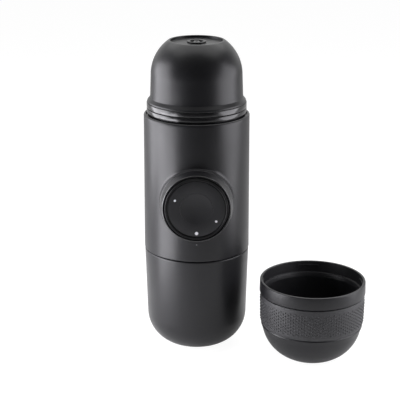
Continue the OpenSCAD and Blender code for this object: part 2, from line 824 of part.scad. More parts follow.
// ---- neck ---------------------------------------------------------------------

chamber_h = 1.5;
plate_z1 = neck_top_z - screen_drop - chamber_h;
screen_z = plate_z1 + chamber_h;
module neck_collar() {
    rib_gap = 0.3;
    rib_r = neck_thread_d / 2 + rib_gap;
    wall = disc_r;
    shoulder_t = 3;
    ledge_w = 2.3;
    color(gloss_color) difference() {
        union() {
            rotate_extrude() {
                translate([rib_r, frame_z1]) square([wall - rib_r, neck_z - frame_z1]);
                translate([rib_r, neck_seat_z]) square([band_d / 2 - rib_r, neck_z - neck_seat_z]);
                translate([neck_bore_r, neck_z - shoulder_t]) square([rib_r - neck_bore_r + eps, shoulder_t]);
                thread_2d(neck_thread_d / 2, neck_bore_r, neck_z, neck_thread_h, eps);
                translate([0, plate_z1 - neck_plate_t]) square([neck_bore_r + eps, neck_plate_t]);
                translate([neck_bore_r - ledge_w, plate_z1 - eps]) square([ledge_w + eps, chamber_h + eps]);
            }
            at_screws() translate([0, 0, frame_z1])
                cylinder(r = post_r, h = neck_z - shoulder_t + eps - frame_z1);
        }
        ring(band_d / 2 - groove_depth, band_d, shell_z1 - groove_h / 2, shell_z1 + groove_h / 2);
        translate([0, 0, frame_z1]) cylinder(r = port_r, h = plate_z1 - frame_z1 + cut);
        at_screws() translate([0, 0, frame_z1 - cut]) cylinder(r = screw_shank_r, h = screw_len + cut);
        translate([0, 0, screen_z]) cylinder(r = neck_bore_r, h = screen_drop + cut);
    }
}

screen_hole_edge = 3;
// tube that carries the water from the frame up to the neck's plate
feed_tube_r = 3;
module feed_tube() {
    color(frame_color) ring(port_r, feed_tube_r, frame_z1, plate_z1 - neck_plate_t);
}

module shower_screen() {
    color(steel_color) translate([0, 0, screen_z]) difference() {
        cylinder(r = neck_bore_r - fit, h = screen_t);
        hole_field(neck_bore_r - screen_hole_edge) translate([0, 0, -cut])
            cylinder(d = hole_d, h = screen_t + 2 * cut);
    }
}

module screen_clip() {
    z = screen_z + screen_t;
    color(steel_color) difference() {
        ring(neck_bore_r - clip_w, neck_bore_r, z, z + clip_t);
        translate([0, -clip_w, z - cut]) cube([neck_bore_r + cut, 2 * clip_w, clip_t + 2 * cut]);
    }
}

module basket_seal() {
    color(rubber_color) ring(seal_bore_r, neck_thread_d / 2 - thread_depth, neck_top_z, basket_z0);
}

// ---- basket and outlet head -----------------------------------------------------

basket_hole_edge = 2.4;
module filter_basket() {
    r = basket_d / 2;
    color(steel_color) difference() {
        rotate_extrude() {
            translate([r - basket_t, basket_z0]) square([basket_t, basket_h]);
            translate([r - basket_t, basket_z0]) square([basket_flange_d / 2 - r + basket_t, flange_t]);
            translate([0, basket_z1 - basket_t]) square([r - eps, basket_t]);
        }
        hole_field(r - basket_hole_edge) translate([0, 0, basket_z1 - basket_t - cut])
            cylinder(d = hole_d, h = basket_t + 2 * cut);
    }
}

module head_seal() {
    color(rubber_color) ring(seal_bore_r, basket_flange_d / 2, head_seal_z0, ledge_z0);
}

module head_liner() {
    color(gloss_color) rotate_extrude() {
        translate([liner_bore_r, liner_z0]) square([band_d / 2 - liner_bore_r, head_band_h]);
        translate([liner_bore_r, liner_z0]) square([head_cavity_r - fit - liner_bore_r, ledge_z1 - liner_z0]);
        translate([seal_bore_r, ledge_z0]) square([head_cavity_r - fit - seal_bore_r, ledge_t]);
    }
}

module head_outer_2d() {
    polygon([[0, head_z0], [head_foot_d / 2, head_z0], [head_neck_d / 2, head_z0 + flare_h],
             [head_side_d / 2, dome_cz], [0, dome_cz]]);
    intersection() {
        translate([dome_cx, dome_cz]) circle(shoulder_r);
        translate([0, dome_cz]) square([head_side_d, head_z1 - dome_cz]);
    }
}

module head_inner_2d() {
    translate([0, head_z0 - cut]) square([head_cavity_r, dome_cz - head_z0 + cut]);
    intersection() {
        translate([dome_cx, dome_cz]) circle(shoulder_r - head_wall);
        translate([0, dome_cz - cut]) square([head_side_d, ceiling_z - dome_cz + cut]);
    }
}

module outlet_head() {
    recess_z = head_z1 - recess_depth;
    outlet_r = outlet_d / 2;
    color(shell_color) rotate_extrude() {
        difference() {
            head_outer_2d();
            head_inner_2d();
            translate([0, recess_z]) square([recess_d / 2, recess_depth + cut]);
            translate([0, ceiling_z - cut]) square([outlet_r, head_z1 - ceiling_z + 2 * cut]);
        }
        translate([outlet_r, recess_z - eps]) square([lip_ring_w, lip_ring_h + eps]);
    }
}

module outlet_nozzle() {
    tip_z = head_z1 - recess_depth + lip_ring_h - 0.1;
    color(gloss_color) rotate_extrude() difference() {
        union() {
            translate([0, ceiling_z - nozzle_flange_t]) square([nozzle_flange_r, nozzle_flange_t]);
            polygon([[0, ceiling_z - eps], [outlet_d / 2 - fit, ceiling_z - eps],
                     [outlet_d / 2 - fit, ceiling_z + 0.8], [nozzle_tip_r, tip_z], [0, tip_z]]);
        }
        translate([0, ceiling_z - nozzle_flange_t - cut]) square([nozzle_bore_r, tip_z]);
    }
}

// ---- cup ----------------------------------------------------------------------

module at_cup() {
    translate([cup_x, -cup_front, 0]) children();
}

module cup_bowl() {
    seat_r = bowl_d / 2;
    inner = seat_r - bowl_wall;
    color(black_color) at_cup() {
        rotate_extrude() difference() {
            union() {
                bowl_2d(bowl_r, bowl_cx, bowl_cz, 0);
                translate([0, bowl_cz]) square([seat_r, band_z0 - bowl_cz]);
                polygon([[0, band_z0], [cup_band_d / 2, band_z0], [cup_rim_d / 2, cup_h], [0, cup_h]]);
            }
            bowl_2d(bowl_r - bowl_wall, bowl_cx, bowl_cz, cup_floor_t);
            translate([0, bowl_cz]) square([inner, cup_h]);
            translate([0, cup_h - cup_recess_h]) square([cup_recess_r, cup_h]);
        }
        for (a = [-lug_ring_angle / 2 : 90 : 270 - lug_ring_angle / 2]) rotate([0, 0, a])
            rotate_extrude(angle = lug_ring_angle)
                translate([cup_recess_r - lug_ring_depth, cup_h - lug_ring_drop - lug_ring_h])
                    square([lug_ring_depth + fit, lug_ring_h]);
    }
}

module cup_liner() {
    outer = bowl_d / 2 - bowl_wall;
    top = cup_h - cup_recess_h;
    color(gloss_color) at_cup() rotate_extrude() difference() {
        union() {
            bowl_2d(bowl_r - bowl_wall, bowl_cx, bowl_cz, cup_floor_t);
            translate([0, bowl_cz]) square([outer, top - bowl_cz]);
        }
        bowl_2d(bowl_r - bowl_wall - cup_liner_t, bowl_cx, bowl_cz, cup_floor_t + cup_liner_t);
        translate([0, bowl_cz]) square([outer - cup_liner_t, cup_h]);
        polygon([[0, top - liner_chamfer], [outer - cup_liner_t, top - liner_chamfer], [outer - 0.3, top],
                 [outer - 0.3, top + cut], [0, top + cut]]);
    }
}

module cup_sleeve() {
    color(rubber_color) at_cup() rotate_extrude()
        polygon([[bowl_d / 2, sleeve_z0], [sleeve_low_d / 2, sleeve_z0], [sleeve_top_d / 2, sleeve_z1],
                 [bowl_d / 2, sleeve_z1]]);
}

water_tank();
tank_seal_ring();
body_shell();
index_mark();
base_collar();
base_gasket();
inlet_strainer();
air_vent_valve();
pump_frame();
frame_screws();
cylinder_liner();
inlet_seat();
inlet_ball();
inlet_spring();
outlet_seat();
outlet_ball();
outlet_spring();
outlet_plug();
feed_tube();
piston_guide();
plunger();
piston_ring();
return_spring();
plunger_screw();
piston_button();
button_insert();
button_dots();
neck_collar();
shower_screen();
screen_clip();
basket_seal();
filter_basket();
head_seal();
head_liner();
outlet_head();
outlet_nozzle();
cup_bowl();
cup_liner();
cup_sleeve();
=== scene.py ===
"""Handheld espresso maker with its cup: the looks around its packed frame.

Every piece is modelled in the frame's own place, with the tank's foot at the origin, Z up, the
button towards -Y and the cup at +X. Sections are drawn in millimetres, as corners (radius, height)
or (radius, height, rounding), and spun() turns them into pieces in metres.
"""

import math

import bmesh
import bpy
from bpy.props import FloatProperty, FloatVectorProperty, IntProperty, PointerProperty
from bpy.types import Operator, Panel, PropertyGroup
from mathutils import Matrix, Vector


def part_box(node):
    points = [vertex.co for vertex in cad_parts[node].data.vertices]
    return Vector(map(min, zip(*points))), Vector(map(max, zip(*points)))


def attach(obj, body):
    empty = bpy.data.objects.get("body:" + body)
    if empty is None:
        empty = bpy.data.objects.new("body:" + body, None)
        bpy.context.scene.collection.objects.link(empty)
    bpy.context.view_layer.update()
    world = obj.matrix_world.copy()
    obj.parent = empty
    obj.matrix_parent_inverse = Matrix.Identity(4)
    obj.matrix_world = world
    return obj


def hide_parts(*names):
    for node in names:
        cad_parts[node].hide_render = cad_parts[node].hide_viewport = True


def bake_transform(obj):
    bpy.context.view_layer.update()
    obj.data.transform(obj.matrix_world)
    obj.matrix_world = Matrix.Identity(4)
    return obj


bl_info = {
    "name": "Handheld espresso maker",
    "version": (1, 0, 0),
    "blender": (4, 5, 0),
    "location": "3D View > Sidebar > Espresso",
    "description": "Models the espresso maker, its cup and a small studio",
    "category": "Object",
}

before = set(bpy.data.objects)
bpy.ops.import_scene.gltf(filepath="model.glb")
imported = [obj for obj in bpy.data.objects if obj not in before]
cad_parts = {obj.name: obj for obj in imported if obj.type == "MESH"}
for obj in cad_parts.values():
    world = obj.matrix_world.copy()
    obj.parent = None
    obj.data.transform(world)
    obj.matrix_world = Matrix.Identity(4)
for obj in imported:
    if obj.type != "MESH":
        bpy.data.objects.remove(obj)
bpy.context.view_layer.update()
MM = 0.001


def low(node):
    """Lowest corner of a frame node's box, in millimetres."""
    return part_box(node)[0] / MM


def high(node):
    """Highest corner of a frame node's box, in millimetres."""
    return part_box(node)[1] / MM


def srgb(text):
    """Linear colour with alpha of an sRGB hex value."""
    parts = [int(text[i : i + 2], 16) / 255 for i in (1, 3, 5)]
    return tuple(c / 12.92 if c <= 0.04045 else ((c + 0.055) / 1.055) ** 2.4 for c in parts) + (1.0,)


# places that several pieces share, in millimetres
PISTON_Z = (low("piston_button").z + high("piston_button").z) / 2
BOSS_FACE = -low("body_shell").y
CUP_X, CUP_Y = (low("cup_bowl") + high("cup_bowl")).xy / 2
CUP_CENTRE = (CUP_X, CUP_Y, 0)


# ---- sizes and colours that a user would change -----------------------------------------


class TankSettings(PropertyGroup):
    """Water tank."""

    radius: FloatProperty(
        name="Shoulder radius", description="Outer radius of the tank at its shoulder",
        default=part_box("water_tank")[1].x, unit="LENGTH")
    low_radius: FloatProperty(
        name="Lower radius", description="Outer radius just above the rounded base",
        default=28.7 * MM, unit="LENGTH")
    base_arc: FloatProperty(
        name="Base rounding", description="Radius of the rounded base in section",
        default=19.1 * MM, unit="LENGTH")
    foot: FloatProperty(
        name="Foot radius", description="Radius of the flat that the tank stands on",
        default=12 * MM, unit="LENGTH")
    shoulder_z: FloatProperty(
        name="Shoulder height", description="Height of the shoulder under the mouth",
        default=58.4 * MM, unit="LENGTH")
    wall: FloatProperty(name="Wall", description="Wall of the tank", default=2.2 * MM, unit="LENGTH")


class BodySettings(PropertyGroup):
    """Body shell with the boss round the button."""

    low_radius: FloatProperty(
        name="Lower radius", description="Outer radius at the body's foot",
        default=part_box("body_shell")[1].x, unit="LENGTH")
    top_radius: FloatProperty(
        name="Top radius", description="Outer radius under the body's top edge",
        default=29.6 * MM, unit="LENGTH")
    top_edge: FloatProperty(
        name="Top edge", description="Rounding of the top edge", default=1.1 * MM, unit="LENGTH")
    boss_radius: FloatProperty(
        name="Boss radius", description="Radius of the boss round the button",
        default=20.3 * MM, unit="LENGTH")
    boss_edge: FloatProperty(
        name="Boss edge", description="Rounding of the boss's front edge", default=1.1 * MM, unit="LENGTH")
    boss_blend: FloatProperty(
        name="Boss blend", description="Hollow rounding where the boss leaves the body",
        default=2.2 * MM, unit="LENGTH")


class ButtonSettings(PropertyGroup):
    """Piston button."""

    radius: FloatProperty(
        name="Button radius", description="Outer radius of the button", default=17.8 * MM, unit="LENGTH")
    ring_radius: FloatProperty(
        name="Face radius", description="Radius of the sunk face inside the black rim",
        default=16.0 * MM, unit="LENGTH")
    insert_radius: FloatProperty(
        name="Insert radius", description="Radius of the dished middle", default=9 * MM, unit="LENGTH")
    dish: FloatProperty(
        name="Dish", description="Depth of the dished middle", default=0.7 * MM, unit="LENGTH")


class CupSettings(PropertyGroup):
    """Cup beside the machine."""

    rim_radius: FloatProperty(
        name="Rim radius", description="Outer radius at the rim", default=29.65 * MM, unit="LENGTH")
    dot_rows: IntProperty(name="Dot rows", description="Rows of dots on the grip", default=14, min=1, max=20)
    dots_round: IntProperty(
        name="Dots round the grip", description="Dots in one row", default=59, min=12, max=160)
    dot_radius: FloatProperty(
        name="Dot radius", description="Radius of one raised dot", default=0.55 * MM, unit="LENGTH")
    dot_height: FloatProperty(
        name="Dot height", description="Height of one raised dot", default=0.4 * MM, unit="LENGTH")


class FinishSettings(PropertyGroup):
    """Colours and gloss of the finishes."""

    shell_colour: FloatVectorProperty(
        name="Shell", description="Soft-touch dark grey", subtype="COLOR", size=4,
        default=srgb("#161618"), min=0, max=1)
    gloss_colour: FloatVectorProperty(
        name="Gloss black", description="Polished black bands", subtype="COLOR", size=4,
        default=srgb("#0d0d0f"), min=0, max=1)
    satin_colour: FloatVectorProperty(
        name="Satin black", description="Button and cup bowl", subtype="COLOR", size=4,
        default=srgb("#19191b"), min=0, max=1)
    grip_colour: FloatVectorProperty(
        name="Grip", description="Silicone sleeve of the cup", subtype="COLOR", size=4,
        default=srgb("#29292b"), min=0, max=1)
    mark_colour: FloatVectorProperty(
        name="Print", description="Printed dots", subtype="COLOR", size=4,
        default=srgb("#c6c6ca"), min=0, max=1)
    shell_roughness: FloatProperty(
        name="Shell roughness", description="How matte the shell is", default=0.36, min=0, max=1,
        subtype="FACTOR")


class StudioSettings(PropertyGroup):
    """Camera, lamps and floor."""

    lens: FloatProperty(
        name="Lens", description="Focal length on a 36 mm sensor", default=107.4, unit="CAMERA")
    camera_place: FloatVectorProperty(
        name="Camera place", description="Where the camera stands", subtype="TRANSLATION", size=3,
        default=(1.86 * MM, -650 * MM, 295.3 * MM))
    camera_down: FloatProperty(
        name="Camera tilt", description="How far the camera looks down", subtype="ANGLE",
        default=math.radians(17.89))
    left_power: FloatProperty(
        name="Left softbox", description="Power of the left softbox", default=0.7, subtype="POWER")
    right_power: FloatProperty(
        name="Right softbox", description="Power of the right softbox", default=0.5, subtype="POWER")
    strip_power: FloatProperty(
        name="Low strip", description="Power of the low strip at the left", default=0.36, subtype="POWER")
    top_power: FloatProperty(
        name="Top softbox", description="Power of the softbox overhead", default=4.3, subtype="POWER")
    ambient: FloatProperty(
        name="Room light", description="Brightness of the wall behind the object",
        default=0.8, min=0, max=2)


GROUPS = (
    ("tank", TankSettings), ("body", BodySettings), ("button", ButtonSettings),
    ("cup", CupSettings), ("finish", FinishSettings), ("studio", StudioSettings),
)


def settings(group):
    """The values of a group, as the scene holds them."""
    return getattr(bpy.context.scene, "espresso_" + group)


def lengths(group, *names):
    """The named lengths of a group, in millimetres."""
    return [getattr(settings(group), name) / MM for name in names]


# ---- finishes ---------------------------------------------------------------------------


def emptied(owner):
    """The node tree of a new material or world, without its nodes."""
    owner.use_nodes = True
    owner.node_tree.nodes.clear()
    return owner.node_tree


def add(tree, kind, links=None, **values):
    """Adds one node, sets its values (an attribute, or an input by name) and links its inputs."""
    node = tree.nodes.new(kind)
    for key, value in values.items():
        if hasattr(node, key):
            setattr(node, key, value)
        else:
            node.inputs[key.replace("_", " ")].default_value = value
    for key, socket in (links or {}).items():
        tree.links.new(socket, node.inputs[key])
    return node


def start(name, **values):
    """A new material with its shader and the piece's own coordinates."""
    made = bpy.data.materials.new(name)
    tree = emptied(made)
    shader = add(tree, "ShaderNodeBsdfPrincipled", **values)
    add(tree, "ShaderNodeOutputMaterial", {"Surface": shader.outputs["BSDF"]})
    where = add(tree, "ShaderNodeTexCoord").outputs["Object"]
    return made, tree, shader, where


def noise(tree, where, size_mm, detail):
    """A cloudy pattern whose clouds are about the given size."""
    clouds = add(tree, "ShaderNodeTexNoise", {"Vector": where}, Scale=1 / (size_mm * MM), Detail=detail)
    return clouds.outputs["Fac"]


def vary_gloss(tree, shader, pattern, least, most, **span):
    """Lets the roughness wander between two values with a pattern."""
    gloss = add(tree, "ShaderNodeMapRange", {"Value": pattern}, To_Min=least, To_Max=most, **span)
    tree.links.new(gloss.outputs["Result"], shader.inputs["Roughness"])


def emboss(tree, shader, pattern, depth_mm):
    """Raises a pattern out of the surface in the shading."""
    bump = add(tree, "ShaderNodeBump", {"Height": pattern}, Strength=1.0, Distance=depth_mm * MM)
    tree.links.new(bump.outputs["Normal"], shader.inputs["Normal"])


def tinted(colour, factor):
    """A colour made darker or lighter."""
    return tuple(min(1.0, c * factor) for c in colour[:3]) + (1.0,)


def moulded(name, colour, roughness, grain_mm, depth_mm, mottle_mm, spread=0.12, coat=0.0, tone=0.12,
            shine=0.5):
    """Moulded polymer: a near-even colour, gloss that wanders a little, and a fine grain."""
    made, tree, shader, where = start(
        name, IOR=1.5, Coat_Weight=coat, Coat_Roughness=0.08, Specular_IOR_Level=shine)
    # slow drift over the moulding, as regrind and flow leave it, mostly between 0.3 and 0.7
    drift = noise(tree, where, mottle_mm, detail=3.0)
    ramp = add(tree, "ShaderNodeValToRGB", {"Fac": drift})
    for end, position, factor in zip(ramp.color_ramp.elements, (0.3, 0.7), (1 - tone, 1 + tone)):
        end.position = position
        end.color = tinted(colour, factor)
    tree.links.new(ramp.outputs["Color"], shader.inputs["Base Color"])
    vary_gloss(tree, shader, drift, roughness * (1 - spread), roughness * (1 + spread),
               From_Min=0.25, From_Max=0.75)
    emboss(tree, shader, noise(tree, where, grain_mm, detail=2.0), depth_mm)
    return made


def soft_touch_abs():
    # ABS with a rubbery soft-touch lacquer: broad, dim highlights over a dark grey, and a
    # spark-eroded grain of about 0.1 mm, drawn at 0.45 mm because finer doesn't show here
    look = settings("finish")
    return moulded("soft_touch_lacquer_on_ABS", look.shell_colour, look.shell_roughness, grain_mm=0.45,
                   depth_mm=0.004, mottle_mm=22.0, tone=0.05, shine=0.33)


def polished_abs():
    # ABS moulded in a polished tool: near black, sharp streaks, a faint waviness of 3 mm
    return moulded("polished_black_ABS", settings("finish").gloss_colour, 0.22, grain_mm=3.0,
                   depth_mm=0.004, mottle_mm=9.0, spread=0.2, coat=0.1)


def satin_abs():
    # ABS moulded in a fine blasted tool: deep black-grey with a soft, narrow sheen
    return moulded("satin_black_ABS", settings("finish").satin_colour, 0.4, grain_mm=0.4,
                   depth_mm=0.004, mottle_mm=12.0, spread=0.1, shine=0.33)


def rim_shade_abs():
    # ABS darkened to a dead black for the button's rim: the dark colour is painted shade and painted dark
    # reflection, over a coarse grain
    return moulded("painted_rim_shade_black_ABS", srgb("#0c0c0d"), 0.5, grain_mm=0.4, depth_mm=0.01,
                   mottle_mm=8.0, spread=0.1, shine=0.15)


def grip_silicone():
    # liquid silicone, moulded matte: dusty black-grey, highlights almost gone
    return moulded("matte_silicone", settings("finish").grip_colour, 0.55, grain_mm=0.35,
                   depth_mm=0.005, mottle_mm=10.0, spread=0.08)


def seal_rubber():
    # EPDM moulded seal: soft black with a dull bloom
    return moulded("EPDM_seal_rubber", srgb("#1c1c1d"), 0.62, grain_mm=0.4, depth_mm=0.006,
                   mottle_mm=5.0, spread=0.15)


def filled_nylon():
    # nylon with chopped glass: mid grey, dry, with flow marks and a fibrous grain of 0.5 mm
    return moulded("glass_filled_nylon", srgb("#8b8e93"), 0.55, grain_mm=0.5, depth_mm=0.01,
                   mottle_mm=8.0, spread=0.15, tone=0.1)


def ink(name, colour):
    """Pad-printed ink: flat, with the slight unevenness of the pad."""
    return moulded(name, colour, 0.6, grain_mm=0.3, depth_mm=0.003, mottle_mm=0.8, spread=0.1, tone=0.06)


def printed_ink():
    # printed thick: pale grey
    return ink("pad_printed_ink", settings("finish").mark_colour)


def grey_ink():
    # the same ink printed thin on the lacquer, so that the shell greys it
    return ink("thin_grey_ink", srgb("#58585b"))


def stainless(name, hexa, roughness, stretch):
    """Stainless steel: fine drawn lines that vary the gloss."""
    made, tree, shader, where = start(name, Metallic=1.0, Base_Color=srgb(hexa))
    squeezed = add(tree, "ShaderNodeMapping", {"Vector": where}, Scale=stretch)
    lines = noise(tree, squeezed.outputs["Vector"], size_mm=0.5, detail=3.0)
    vary_gloss(tree, shader, lines, roughness * 0.7, roughness * 1.4)
    emboss(tree, shader, lines, depth_mm=0.003)
    return made


def pressed_steel():
    # 304 stainless sheet, pressed and punched: a grey sheen, hazed by the tool marks
    return stainless("pressed_stainless_304", "#929396", 0.42, (1.0, 1.0, 0.08))


def spring_steel():
    # 302 spring wire and ground balls: a darker, tighter shine
    return stainless("spring_steel_302", "#a9abad", 0.2, (0.2, 1.0, 1.0))


FINISHES = {}  # materials made so far, by their makers' names


def finish(maker):
    """The material that a maker function gives, made once."""
    if maker.__name__ not in FINISHES:
        FINISHES[maker.__name__] = maker()
    return FINISHES[maker.__name__]


def cover(mesh, maker):
    """Gives a mesh one finish."""
    mesh.materials.clear()
    mesh.materials.append(finish(maker))


def dress(node, maker):
    """Gives a frame node its finish."""
    cover(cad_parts[node].data, maker)


def accent(piece, maker, chosen):
    """Gives a second finish to the facets whose centre, in millimetres, is chosen."""
    piece.data.materials.append(finish(maker))
    for facet in piece.data.polygons:
        if chosen(facet.center / MM):
            facet.material_index = 1


# ---- modelling helpers ------------------------------------------------------------------


def pick(*pieces):
    """Selects these pieces alone and makes the first of them active."""
    bpy.ops.object.select_all(action="DESELECT")
    for piece in pieces:
        piece.select_set(True)
    bpy.context.view_layer.objects.active = pieces[0]


def arc(cx, cz, r, first, last, steps):
    """Points along an arc from one angle to another, in degrees."""
    angles = [math.radians(first + (last - first) * i / steps) for i in range(steps + 1)]
    return [(cx + r * math.cos(a), cz + r * math.sin(a)) for a in angles]


def line(start, end, parts):
    """The points that divide a line into equal parts, without its ends."""
    (x0, z0), (x1, z1) = start, end
    return [(x0 + (x1 - x0) * i / parts, z0 + (z1 - z0) * i / parts) for i in range(1, parts)]


def outline(corners, steps, closed=True):
    """Corners (radius, height[, rounding]) turned into points, each rounding as a true arc."""
    points = []
    count = len(corners)
    for i, corner in enumerate(corners):
        r = corner[2] if len(corner) > 2 else 0
        p = Vector(corner[:2])
        if not r or (not closed and i in (0, count - 1)):
            points.append(tuple(p))
            continue
        a = (Vector(corners[i - 1][:2]) - p).normalized()
        b = (Vector(corners[(i + 1) % count][:2]) - p).normalized()
        half = a.angle(b) / 2
        reach = r / math.tan(half)
        centre = p + (a + b).normalized() * (r / math.sin(half))
        first, last = p + a * reach - centre, p + b * reach - centre
        swing = math.atan2(first.x * last.y - first.y * last.x, first.dot(last))
        for k in range(steps + 1):
            t = swing * k / steps
            points.append((centre.x + first.x * math.cos(t) - first.y * math.sin(t),
                           centre.y + first.x * math.sin(t) + first.y * math.cos(t)))
    return points


def spun(name, points, steps, closed=True, centre=(0, 0, 0), forward=False):
    """A turned piece: points (radius, height) in millimetres, drawn by extruding one vertex, then
    spun round an axis, which is Z through centre, or -Y through centre where forward is set."""
    bpy.ops.mesh.primitive_plane_add(size=1 * MM, location=(0, 0, 0))
    piece = bpy.context.object
    piece.name = piece.data.name = name
    middle = Vector(centre) * MM
    places = [Vector((x, -z, 0) if forward else (x, 0, z)) * MM + middle for x, z in points]
    bpy.ops.object.mode_set(mode="EDIT")
    bpy.ops.mesh.merge(type="CENTER")
    bpy.ops.transform.translate(value=places[0])
    for a, b in zip(places, places[1:]):
        bpy.ops.mesh.extrude_region_move(TRANSFORM_OT_translate={"value": b - a})
    if closed:
        mesh = bmesh.from_edit_mesh(piece.data)
        ends = [v for v in mesh.verts if len(v.link_edges) == 1]
        bpy.ops.mesh.select_all(action="DESELECT")
        for v in ends:
            v.select_set(True)
        bmesh.update_edit_mesh(piece.data)
        bpy.ops.mesh.edge_face_add()
    bpy.ops.mesh.select_all(action="SELECT")
    axis = (0, -1, 0) if forward else (0, 0, 1)
    bpy.ops.mesh.spin(steps=steps, angle=2 * math.pi, center=middle, axis=axis)
    bpy.ops.mesh.select_all(action="SELECT")
    bpy.ops.mesh.remove_doubles(threshold=0.002 * MM)
    bpy.ops.mesh.normals_make_consistent(inside=False)
    bpy.ops.object.mode_set(mode="OBJECT")
    return piece


def spun_forward(name, points, steps, closed=True):
    """A piece turned on the button's axis: points (radius, depth), the depth towards -Y."""
    return spun(name, points, steps, closed, centre=(0, 0, PISTON_Z), forward=True)


def finished(piece, maker, body, node):
    """Gives a piece its shading, finish and body, and hides the node that it stands for."""
    pick(piece)
    bpy.ops.object.transform_apply(location=True, rotation=True, scale=True)
    bpy.ops.object.shade_smooth_by_angle(angle=math.radians(35))
    cover(piece.data, maker)
    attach(piece, body)
    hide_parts(node)
    return piece


def carve(piece, cutter):
    """Cuts a piece with another, which is then removed."""
    cut = piece.modifiers.new("carve", "BOOLEAN")
    cut.operation = "DIFFERENCE"
    cut.solver = "EXACT"
    cut.object = cutter
    pick(piece)
    bpy.ops.object.modifier_apply(modifier=cut.name)
    bpy.data.objects.remove(cutter)


def joined(pieces):
    """Several pieces made one, under the first one's name."""
    pick(*pieces)
    bpy.ops.object.join()
    return pieces[0]


def keep_sector(piece, angle, middle, half):
    """Keeps the faces that stand within half of the middle angle, and closes the ends. The angle
    function gives the angle round the piece's axis of a place in millimetres."""
    mesh = bmesh.new()
    mesh.from_mesh(piece.data)
    drop = []
    for face in mesh.faces:
        off = angle(face.calc_center_median() / MM) - middle
        if abs((off + math.pi) % (2 * math.pi) - math.pi) > half:
            drop.append(face)
    bmesh.ops.delete(mesh, geom=drop, context="FACES")
    bmesh.ops.holes_fill(mesh, edges=mesh.edges)
    bmesh.ops.recalc_face_normals(mesh, faces=mesh.faces)
    mesh.to_mesh(piece.data)
    mesh.free()


def round_base(side, arc_r, foot):
    """Centre of the arc that rounds a base from its side to its flat foot, and the arc's angle."""
    cx = side - arc_r
    cz = math.sqrt(arc_r ** 2 - (foot - cx) ** 2)
    return cx, cz, math.degrees(math.acos((foot - cx) / arc_r))


def drop_angle(arc_r, depth):
    """How far an arc turns down from level until it is depth below its centre, in degrees."""
    return math.degrees(math.atan2(depth, math.sqrt(arc_r ** 2 - depth ** 2)))


def ridges(root, z0):
    """Section of five thread ridges on a root radius, from the lowest up."""
    depth, pitch = 0.8, 1.6
    out = []
    for i in range(5):
        z = z0 + i * pitch
        out += [(root, z, 0.1), (root + depth, z + 0.36 * pitch, 0.12),
                (root + depth, z + 0.5 * pitch, 0.12), (root, z + 0.86 * pitch, 0.1)]
    return out


# ---- pieces -----------------------------------------------------------------------------


class ESPRESSO_OT_tank(Operator):
    """Water tank with its rounded base, threaded mouth and seal ring"""

    bl_idname = "espresso.tank"
    bl_label = "Water tank"

    def execute(self, context):
        radius, low_radius, base_arc, foot, shoulder, wall = lengths(
            "tank", "radius", "low_radius", "base_arc", "foot", "shoulder_z", "wall")
        top = high("water_tank").z
        root, bore = 25.7, 23.5
        cx, cz, down = round_base(low_radius, base_arc, foot)
        inner_arc = base_arc - wall
        points = [(0, 0), (foot * 0.6, 0)]
        points += arc(cx, cz, base_arc, -down, 0, 24)
        points += line((low_radius, cz), (radius, shoulder), 4)
        points += outline([
            (radius - 0.02, shoulder - 1.2), (radius, shoulder, 0.5), (root, shoulder, 0.2),
            *ridges(root, shoulder + 1), (root, top, 0.35), (bore, top, 0.35), (bore, shoulder - wall, 0.6),
            (radius - wall, shoulder - wall, 1.0), (low_radius - wall, cz)], 3, closed=False)
        points += arc(cx, cz, inner_arc, 0, -drop_angle(inner_arc, cz - wall), 16)[1:]
        points += [(0, wall)]
        tank = spun("water_tank_shell", points, steps=144, closed=False)
        finished(tank, soft_touch_abs, "tank", "water_tank")
        dress("tank_seal_ring", seal_rubber)
        return {"FINISHED"}


